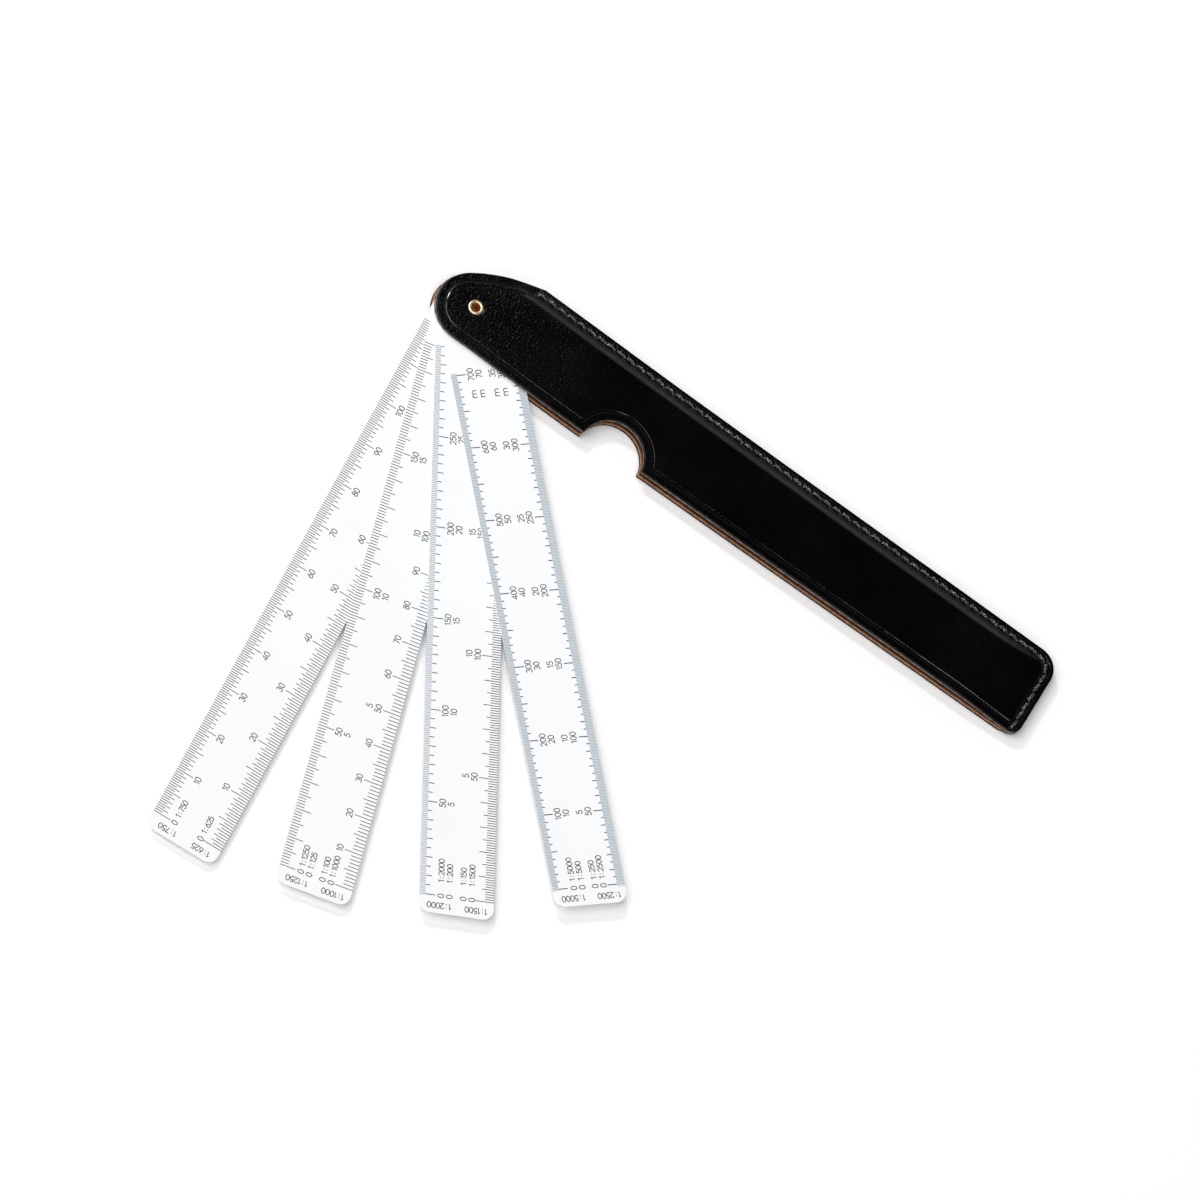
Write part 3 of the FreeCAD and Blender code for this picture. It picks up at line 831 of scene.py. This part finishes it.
# Each edge: mark pitch, last mark and classes of marks; then the numerals' distance apart, their
# rows (step, distance from the edge) and how many there are; then the ratios, each with its
# distance from the edge, of which the first stands at the tip too
NUMERAL = 1.6
SIGN_LINE = 0.22
EDGES = {
    (1, -1): dict(pitch=13.3333 / 20, end=160.0, marks=((1, 2.2), (2, 3.3), (10, 4.3), (20, 4.7)),
                  apart=13.3333, rows=((10, 6.1),), last=11, ratios=(("1:750", 6.1),)),
    (1, 1): dict(pitch=0.8, end=160.0, marks=((1, 2.8), (2, 3.7), (10, 4.8), (20, 5.2)),
                 apart=16.0, rows=((10, 6.75),), last=9, ratios=(("1:625", 6.2),)),
    (2, -1): dict(pitch=0.8, end=152.0, marks=((1, 2.1), (5, 3.2), (10, 4.2)),
                  apart=40.0, rows=((50, 5.6), (5, 7.9)), last=3,
                  ratios=(("1:1250", 5.7), ("1:125", 8.0))),
    (2, 1): dict(pitch=1.0, end=150.0, marks=((1, 2.7), (5, 3.6), (10, 4.7)),
                 apart=10.0, rows=((10, 6.1),), last=14, second=(5, 50.0, 8.5),
                 ratios=(("1:1000", 6.0), ("1:100", 8.3))),
    (3, -1): dict(pitch=0.5, end=150.0, marks=((1, 1.55), (5, 2.7), (10, 3.1), (50, 4.1)),
                  apart=25.0, rows=((50, 5.5), (5, 7.8)), last=5,
                  ratios=(("1:2000", 5.7), ("1:200", 8.0)), metres=143.0, tint=PALE_TINT),
    (3, 1): dict(pitch=33.3333 / 50, end=150.0, marks=((1, 2.3), (5, 3.3), (10, 4.2), (50, 4.9)),
                 apart=33.3333, rows=((50, 6.2), (5, 8.5)), last=4,
                 ratios=(("1:1500", 6.0), ("1:150", 8.3))),
    (4, -1): dict(pitch=0.4, end=140.0, marks=((1, 1.7), (5, 2.35), (25, 3.2), (50, 4.1)),
                  apart=20.0, rows=((100, 5.5), (10, 7.8)), last=7,
                  ratios=(("1:5000", 5.95), ("1:500", 8.25)), metres=134.6, tint=TINT),
    (4, 1): dict(pitch=0.4, end=140.0, marks=((1, 2.1), (5, 2.7), (10, 3.2), (50, 4.5)),
                 apart=20.0, rows=((50, 6.1), (5, 8.5)), last=7,
                 ratios=(("1:2500", 5.85), ("1:250", 8.15)), metres=134.6, tint=TINT),
}
RATIO_START = {1: 1.9, 2: 1.75, 3: 3.8, 4: 2.0}
RATIO_SIGNS = dict(height=1.45, spread=0.96, gap=0.155)
NAME_X, NAME_PLACE = -2.75, {-1: 4.7, 1: 5.2}
NAME_SIGNS = dict(height=1.47, spread=0.98, gap=0.16)
UNIT_RAISED, UNIT_SPREAD = 0.15, 1.05
MARK_WIDTHS = {(3, -1): (0.16, 0.22), (4, -1): (0.14, 0.25), (4, 1): (0.14, 0.25)}


def scales_of(blade, materials):
    """Marks, numerals and words of one blade, laid on its top face.

    On the blade, x runs from the 0 mark to the pivot and y to the edge that numerals stand on.
    """
    marks, signs = Print(), Print()
    reading, rising = (1.0, 0.0), (0.0, -1.0)
    for side in (-1, 1):
        edge = EDGES[blade, side]
        widths = MARK_WIDTHS.get((blade, side), (0.2, 0.2))
        tick_row(marks, side, edge["pitch"], edge["end"], edge["marks"], widths, edge.get("tint"))

        def put(text, at, from_edge, **more):
            signs.words(text, (at, side * (HALF_BLADE - from_edge)), reading, rising,
                        NUMERAL, **more)

        for step, from_edge in edge["rows"]:
            for number in range(1, edge["last"] + 1):
                put(str(step * number), number * edge["apart"], from_edge)
        if "second" in edge:
            step, apart, from_edge = edge["second"]
            for number in (1, 2):
                put(str(step * number), number * apart, from_edge)
        if "metres" in edge:
            for _, from_edge in edge["rows"]:
                put("m", edge["metres"], from_edge - UNIT_RAISED, spread=UNIT_SPREAD)
        for text, from_edge in edge["ratios"]:
            put("0", 0.0, from_edge)
            start = (RATIO_START[blade], side * (HALF_BLADE - from_edge))
            signs.words(text, None, reading, rising, start=start, **RATIO_SIGNS)
        signs.words(edge["ratios"][0][0], (NAME_X, side * NAME_PLACE[side]), (0.0, -1.0),
                    (-1.0, 0.0), **NAME_SIGNS)
    turn, zero, top = BLADES[blade]
    along = unit(-turn)
    beside = np.array([-along[1], along[0]])
    for name, ink in (("marks", marks), ("numerals", signs)):
        flat = np.concatenate(ink.points)
        place = np.outer(zero - flat[:, 0], along) + np.outer(flat[:, 1], beside)
        points = np.column_stack([place, top + flat[:, 2]])
        mesh_object(
            "blade_%d_%s" % (blade, name), points, [f[::-1] for f in ink.faces],
            "blade_%d" % blade, materials, ink.kinds).data.shade_flat()


# ---- materials ----

class Nodes:
    """Node tree of a material or group, with short calls to add and join nodes."""

    def __init__(self, tree):
        self.tree = tree

    def add(self, kind, **values):
        node = self.tree.nodes.new(kind)
        for key, value in values.items():
            if key in node.inputs:
                node.inputs[key].default_value = value
            else:
                setattr(node, key, value)
        return node

    def join(self, value, socket):
        """Feed a socket from another node, or set it to a plain value."""
        if isinstance(value, bpy.types.NodeSocket):
            self.tree.links.new(value, socket)
        else:
            socket.default_value = value

    def math(self, operation, first, second=None, clamp=False):
        node = self.add("ShaderNodeMath", operation=operation, use_clamp=clamp)
        for socket, value in zip(node.inputs, (first, second)):
            if value is not None:
                self.join(value, socket)
        return node.outputs[0]

    def remap(self, value, low, high, to_low=0.0, to_high=1.0):
        node = self.add("ShaderNodeMapRange", **{
            "From Min": low, "From Max": high, "To Min": to_low, "To Max": to_high})
        self.join(value, node.inputs["Value"])
        return node.outputs["Result"]

    def blend(self, share, first, second):
        node = self.add("ShaderNodeMix", data_type="RGBA")
        for value, socket in ((share, "Factor"), (first, 6), (second, 7)):
            self.join(value, node.inputs[socket])
        return node.outputs[2]

    def noise(self, place, scale, detail=2.0, rough=0.5):
        node = self.add("ShaderNodeTexNoise", Detail=detail, Roughness=rough)
        self.join(place, node.inputs["Vector"])
        self.join(scale, node.inputs["Scale"])
        return node.outputs["Fac"]

    def split(self, place):
        """The x, y and z of a place."""
        node = self.add("ShaderNodeSeparateXYZ")
        self.join(place, node.inputs[0])
        return node.outputs

    def layer(self, name):
        """A value that the mesh holds at its points."""
        return self.add("ShaderNodeAttribute", attribute_name=name).outputs["Fac"]


def colour(red, green, blue):
    return (red, green, blue, 1.0)


def group(name, inputs, outputs):
    """Empty node group with named sockets, and the helper that fills it."""
    tree = bpy.data.node_groups.new(name, "ShaderNodeTree")
    for socket, kind, value in inputs:
        made = tree.interface.new_socket(name=socket, in_out="INPUT", socket_type=kind)
        if value is not None:
            made.default_value = value
    for socket, kind in outputs:
        tree.interface.new_socket(name=socket, in_out="OUTPUT", socket_type=kind)
    nodes = Nodes(tree)
    return nodes, nodes.add("NodeGroupInput"), nodes.add("NodeGroupOutput")


FLOAT, VECTOR = "NodeSocketFloat", "NodeSocketVector"


def grain_group():
    """Grain of finished leather: round pebbles, with masks of the hollows and of worn patches."""
    n, start, end = group(
        "leather_grain",
        [("Place", VECTOR, None), ("Pebble Size", FLOAT, 0.7)],
        [("Height", FLOAT), ("Hollows", FLOAT), ("Patches", FLOAT)])
    place = start.outputs["Place"]
    scale = n.math("DIVIDE", 1000.0, start.outputs["Pebble Size"])
    cells = n.add("ShaderNodeTexVoronoi", feature="SMOOTH_F1", Smoothness=0.35)
    n.join(place, cells.inputs["Vector"])
    n.join(scale, cells.inputs["Scale"])
    fine = n.noise(place, n.math("MULTIPLY", scale, 2.2))
    away = cells.outputs["Distance"]
    pebble = n.math("SUBTRACT", 1.0, n.math("MULTIPLY", away, away))
    n.join(n.math("ADD", pebble, n.math("MULTIPLY", fine, 0.16)), end.inputs["Height"])
    n.join(n.remap(away, 0.45, 0.75), end.inputs["Hollows"])
    n.join(n.remap(n.noise(place, 55.0, 3.0, 0.55), 0.35, 0.65), end.inputs["Patches"])
    return n.tree


def fibre_group():
    """Cut fibres of leather seen on its edge: streaks along it and a mottled height."""
    n, start, end = group(
        "leather_fibres",
        [("Place", VECTOR, None), ("Streak Size", FLOAT, 0.35)],
        [("Streaks", FLOAT), ("Height", FLOAT), ("Mottle", FLOAT)])
    stretch = n.add("ShaderNodeMapping", Scale=(1.0, 1.0, 3.2))
    n.join(start.outputs["Place"], stretch.inputs["Vector"])
    scale = n.math("DIVIDE", 1000.0, start.outputs["Streak Size"])
    streaks = n.noise(stretch.outputs["Vector"], n.math("MULTIPLY", scale, 0.5), 4.0, 0.65)
    n.join(n.remap(streaks, 0.3, 0.7), end.inputs["Streaks"])
    n.join(streaks, end.inputs["Height"])
    n.join(n.remap(n.noise(start.outputs["Place"], 900.0, 2.0), 0.4, 0.6), end.inputs["Mottle"])
    return n.tree


def use_group(n, tree, place, **values):
    node = n.tree.nodes.new("ShaderNodeGroup")
    node.node_tree = tree
    n.join(place, node.inputs["Place"])
    for key, value in values.items():
        node.inputs[key.replace("_", " ")].default_value = value
    return node.outputs


def new_material(name, base, rough, **plain):
    """Material with a Principled shader whose plain sockets have these values."""
    material = bpy.data.materials.new(name)
    material.use_nodes = True
    material.diffuse_color = base
    n = Nodes(material.node_tree)
    shader = material.node_tree.nodes["Principled BSDF"]
    shader.inputs["Base Color"].default_value = base
    shader.inputs["Roughness"].default_value = rough
    for key, value in plain.items():
        shader.inputs[key.replace("_", " ")].default_value = value
    place = n.add("ShaderNodeTexCoord").outputs["Object"]
    return material, n, shader, place


def dress(n, shader, tone, height, distance, strength, rough=None):
    """Give a shader the colour, bump and roughness that change over its surface."""
    n.join(tone, shader.inputs["Base Color"])
    if rough is not None:
        n.join(rough, shader.inputs["Roughness"])
    bump = n.add("ShaderNodeBump", Strength=strength, Distance=distance)
    n.join(height, bump.inputs["Height"])
    n.join(bump.outputs["Normal"], shader.inputs["Normal"])


def black_leather(grain):
    material, n, shader, place = new_material(
        "black_cover_leather", colour(0.0006, 0.0006, 0.0006), 0.20, Specular_IOR_Level=0.32,
        Coat_Roughness=0.17)
    skin = use_group(n, grain, place, Pebble_Size=0.55)
    tone = n.blend(skin["Patches"], colour(0.0005, 0.0005, 0.0006), colour(0.0012, 0.0011, 0.0012))
    # painted shade: the hollows of the grain are painted darker
    tone = n.blend(n.math("MULTIPLY", skin["Hollows"], 0.5), tone, colour(0.0003, 0.0003, 0.0003))
    rough = n.remap(skin["Patches"], 0.0, 1.0, 0.17, 0.23)
    rough = n.math("ADD", rough, n.math("MULTIPLY", skin["Hollows"], 0.06))
    smooth = n.layer("pressed_smooth")
    rough = n.math("SUBTRACT", rough, n.math("MULTIPLY", smooth, 0.07), clamp=True)
    # hands and pockets have worn the grain flatter away from the pivot
    along = n.split(place)["X"]
    worn = n.remap(along, 0.008, 0.045, 1.0, 0.45)
    worn = n.math("MULTIPLY", worn, n.remap(smooth, 0.0, 0.6, 1.0, 0.12))
    # the pressed crease is polished where the hand holds the pivot end
    polish = n.math("MULTIPLY", smooth, n.remap(along, 0.03, -0.004, 0.0, 1.0))
    n.join(polish, shader.inputs["Coat Weight"])
    dress(n, shader, tone, n.math("MULTIPLY", skin["Height"], worn), 0.000095, 1.0, rough)
    return material


def cut_edge(name, fibres, skin_tone, core, pale, flesh_tone, black_and_shadow_share, pivot_end_darkening=0.0):
    """Raw cut edge: black finish at the skin, in a wide band also painted shadow; fibres in the
    core, darker next to the flesh side.
    """
    material, n, shader, place = new_material(name, core, 0.85, Specular_IOR_Level=0.2)
    edge = use_group(n, fibres, place, Streak_Size=0.35)
    through = n.layer("through_leather_and_pocket_shade")
    tone = n.blend(edge["Streaks"], core, pale)
    tone = n.blend(n.math("MULTIPLY", edge["Mottle"], 0.7), tone, flesh_tone)
    # the edge is made darker towards the pivot end, by so much
    tone = n.blend(n.remap(n.split(place)["X"], 0.006, -0.006, 0.0, pivot_end_darkening), tone, flesh_tone)
    wobble = n.math("ADD", through, n.math("MULTIPLY", edge["Mottle"], 0.08))
    tone = n.blend(n.remap(wobble, 0.8, 1.05), tone, flesh_tone)
    # the black band at the skin is the edge's finish; where its share is wide it is also painted
    # contact shadow
    tone = n.blend(n.remap(wobble, black_and_shadow_share + 0.06, black_and_shadow_share), tone, skin_tone)
    dress(n, shader, tone, edge["Height"], 0.00012, 0.6)
    return material


def flesh_side(fibres):
    material, n, shader, place = new_material(
        "brown_flesh_side", colour(0.10, 0.04, 0.02), 0.95, Specular_IOR_Level=0.15)
    nap = use_group(n, fibres, place, Streak_Size=0.6)
    tone = n.blend(nap["Streaks"], colour(0.32, 0.14, 0.065), colour(0.48, 0.27, 0.15))
    # painted shade: the pocket's floor is painted dark brown deeper inside, away from the rim
    deep = n.math("ADD", n.layer("through_leather_and_pocket_shade"), n.math("MULTIPLY", nap["Mottle"], 0.12))
    tone = n.blend(n.remap(deep, 1.22, 1.62), tone, colour(0.075, 0.026, 0.012))
    dress(n, shader, tone, nap["Height"], 0.0001, 0.5)
    return material


def brass():
    material, n, shader, place = new_material(
        "eyelet_brass", colour(0.90, 0.72, 0.42), 0.32, Metallic=1.0)
    x, y, z = n.split(place)
    radius = n.math("SQRT", n.math("ADD", n.math("MULTIPLY", x, x), n.math("MULTIPLY", y, y)))
    inside = n.remap(radius, 0.00134, 0.00127)
    low = n.remap(z, 0.0047, 0.0043)
    deep = n.math("MULTIPLY", inside, low)
    spots = n.remap(n.noise(place, 900.0, 3.0, 0.6), 0.35, 0.7)
    tone = n.blend(spots, colour(0.96, 0.84, 0.58), colour(0.90, 0.72, 0.42))
    stained = n.blend(n.remap(n.noise(place, 1100.0, 3.0, 0.6), 0.42, 0.58),
                      colour(0.30, 0.09, 0.012), colour(0.85, 0.42, 0.08))
    tone = n.blend(deep, tone, stained)
    rough = n.math("ADD", n.remap(spots, 0.0, 1.0, 0.28, 0.40), n.math("MULTIPLY", deep, 0.2))
    dress(n, shader, tone, n.noise(place, 3000.0), 0.00001, 0.4, rough)
    return material


def white_plastic():
    material, n, shader, place = new_material(
        "blade_plastic", colour(0.895, 0.905, 0.92), 0.42, Specular_IOR_Level=0.4)
    cloud = n.noise(place, 38.0, 3.0, 0.5)
    tone = n.blend(n.remap(cloud, 0.35, 0.65), colour(0.888, 0.898, 0.914),
                   colour(0.902, 0.911, 0.925))
    fine = n.noise(place, 2600.0, 2.0, 0.6)
    dress(n, shader, tone, fine, 0.000012, 0.35, n.remap(fine, 0.3, 0.7, 0.38, 0.48))
    return material


def print_ink(name, full, thin):
    """Printed ink that varies between its full and its thin tone."""
    material, n, shader, place = new_material(name, full, 0.55, Specular_IOR_Level=0.3)
    wear = n.noise(place, 700.0, 3.0, 0.6)
    tone = n.blend(n.remap(wear, 0.45, 0.75), full, thin)
    dress(n, shader, tone, wear, 0.000006, 0.3, n.remap(wear, 0.3, 0.7, 0.5, 0.65))
    return material


def black_thread():
    material, n, shader, place = new_material(
        "waxed_black_thread", colour(0.025, 0.025, 0.026), 0.26, Specular_IOR_Level=0.95,
        Sheen_Weight=0.15, Sheen_Roughness=0.4)
    hairs = n.noise(place, 5200.0, 3.0, 0.6)
    tone = n.blend(n.remap(hairs, 0.35, 0.65), colour(0.003, 0.003, 0.004),
                   colour(0.018, 0.018, 0.020))
    # painted highlight: pale grey specks in the thread's colour stand for glints on its plies
    painted_glints = n.noise(place, 1900.0, 1.0)
    tone = n.blend(n.remap(painted_glints, 0.55, 0.66), tone, colour(0.26, 0.26, 0.27))
    dress(n, shader, tone, hairs, 0.00002, 0.5, n.remap(hairs, 0.3, 0.7, 0.16, 0.3))
    return material


# ---- floor, light and camera ----

def pale_floor():
    """Large pale table top, a little uneven in tone."""
    material = bpy.data.materials.new("pale_floor")
    material.use_nodes = True
    tree = material.node_tree
    n = Nodes(tree)
    shader = tree.nodes["Principled BSDF"]
    speckle = n.noise(n.add("ShaderNodeTexCoord").outputs["Object"], 25.0)
    n.join(n.blend(speckle, colour(0.955, 0.955, 0.955), colour(0.965, 0.965, 0.965)),
           shader.inputs["Base Color"])
    shader.inputs["Roughness"].default_value = 0.9
    shader.inputs["Specular IOR Level"].default_value = 0.0
    mesh = bpy.data.meshes.new("table_top")
    half, level = 3.0, -0.00005
    mesh.from_pydata([(-half, -half, level), (half, -half, level), (half, half, level),
                      (-half, half, level)], [], [(0, 1, 2, 3)])
    mesh.materials.append(material)
    floor = put_in_scene("table_top", mesh)


def add_lamp(name, kind, place, ahead, **values):
    """Lamp at a place that shines along a direction."""
    lamp = bpy.data.lights.new(name, kind)
    for key, value in values.items():
        setattr(lamp, key, value)
    holder = put_in_scene(name, lamp)
    holder.location = place
    holder.rotation_mode = "QUATERNION"
    holder.rotation_quaternion = Vector(ahead).to_track_quat("-Z", "Y")


def light_the_studio():
    """Pale walls round the table with a dark ceiling, and soft light from above on the left."""
    world = bpy.data.worlds.new("studio")
    world.use_nodes = True
    n = Nodes(world.node_tree)
    background = world.node_tree.nodes["Background"]
    background.inputs["Color"].default_value = colour(1, 1, 1)
    height = n.split(n.add("ShaderNodeTexCoord").outputs["Generated"])["Z"]
    walls = n.remap(height, 0.70, 0.50, 0.02, 0.45)
    seen = n.add("ShaderNodeLightPath").outputs["Is Camera Ray"]
    n.join(n.math("MAXIMUM", walls, seen), background.inputs["Strength"])
    bpy.context.scene.world = world
    add_lamp("window", "SUN", (0, 0, 0), (0.45, 0.22, -0.866), energy=1.86,
             angle=math.radians(50))
    # small lamps that the creases, the thread and the grain mirror
    for name, place, target, size, power in (
            ("front_lamp", (0.30, -1.1, 1.0), (0.09, 0, 0), 0.3, 2.4),
            ("right_lamp", (0.45, -0.45, 1.38), (0.09, 0, 0), 0.3, 2.8),
            ("side_lamp", (-0.74, 0.46, 0.80), (0, 0, 0), 0.14, 3.8),
            ("pivot_lamp", (-0.18, 0.30, 0.486), (0, 0, 0), 0.12, 0.28)):
        add_lamp(name, "AREA", place, Vector(target) - Vector(place), shape="DISK", size=size,
                 energy=power)


def set_camera():
    """Camera at the photograph's angle, in the frame of the CAD."""
    lens = bpy.data.cameras.new("view")
    lens.lens, lens.sensor_width = 347.088, 36.0
    lens.clip_start, lens.clip_end = 0.1, 20.0
    camera = put_in_scene("view", lens)
    right = Vector((0.811002, 0.478650, 0.336407))
    up = Vector((-0.577535, 0.746828, 0.329699))
    ahead = Vector((0.093427, 0.461673, -0.882116))
    turn = Matrix((right, up, -ahead)).transposed()
    camera.matrix_world = Matrix.Translation((-0.21003, -1.424185, 2.632937)) @ turn.to_4x4()
    bpy.context.scene.camera = camera


# ---- make everything ----

def main():
    grain, fibres = grain_group(), fibre_group()
    leather = black_leather(grain)
    black = colour(0.004, 0.004, 0.004)
    grey_edge = cut_edge("grey_cut_edge", fibres, black, colour(0.13, 0.10, 0.085),
                         colour(0.30, 0.26, 0.235), colour(0.06, 0.03, 0.018), 0.17)
    # the back cover's edge is black over its lower 60%: dyed finish with painted contact shadow
    # along the bottom
    tan_edge = cut_edge("tan_cut_edge", fibres, black, colour(0.40, 0.18, 0.085),
                        colour(0.76, 0.48, 0.30), colour(0.20, 0.065, 0.026), 0.60, pivot_end_darkening=0.8)
    flesh = flesh_side(fibres)
    leather_cover("front_cover_leather", "front_cover", (174.845, 160.77), (174.8, 163.25), False,
                  [leather, grey_edge, flesh])
    leather_cover("back_cover_leather", "back_cover", (175.72, 174.55), (175.26, 174.3), True,
                  [leather, tan_edge, flesh])
    thread = black_thread()
    stitch_row("front_stitches", "front_thread", False, thread)
    stitch_row("back_stitches", "back_thread", True, thread)
    brass_eyelet(brass())
    plastic = white_plastic()
    inks = [print_ink("scale_ink", colour(0.014, 0.016, 0.019), colour(0.045, 0.05, 0.056)),
            print_ink("fine_mark_ink", colour(0.28, 0.30, 0.32), colour(0.34, 0.37, 0.39)),
            print_ink("band_tint", colour(0.62, 0.69, 0.73), colour(0.67, 0.73, 0.77)),
            print_ink("pale_band_tint", colour(0.76, 0.80, 0.84), colour(0.80, 0.84, 0.87))]
    for blade in BLADES:
        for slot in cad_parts["blade_%d" % blade].material_slots:
            slot.material = plastic
        scales_of(blade, inks)
    pale_floor()
    light_the_studio()
    set_camera()
    bpy.context.scene.view_settings.view_transform = "Standard"


main()
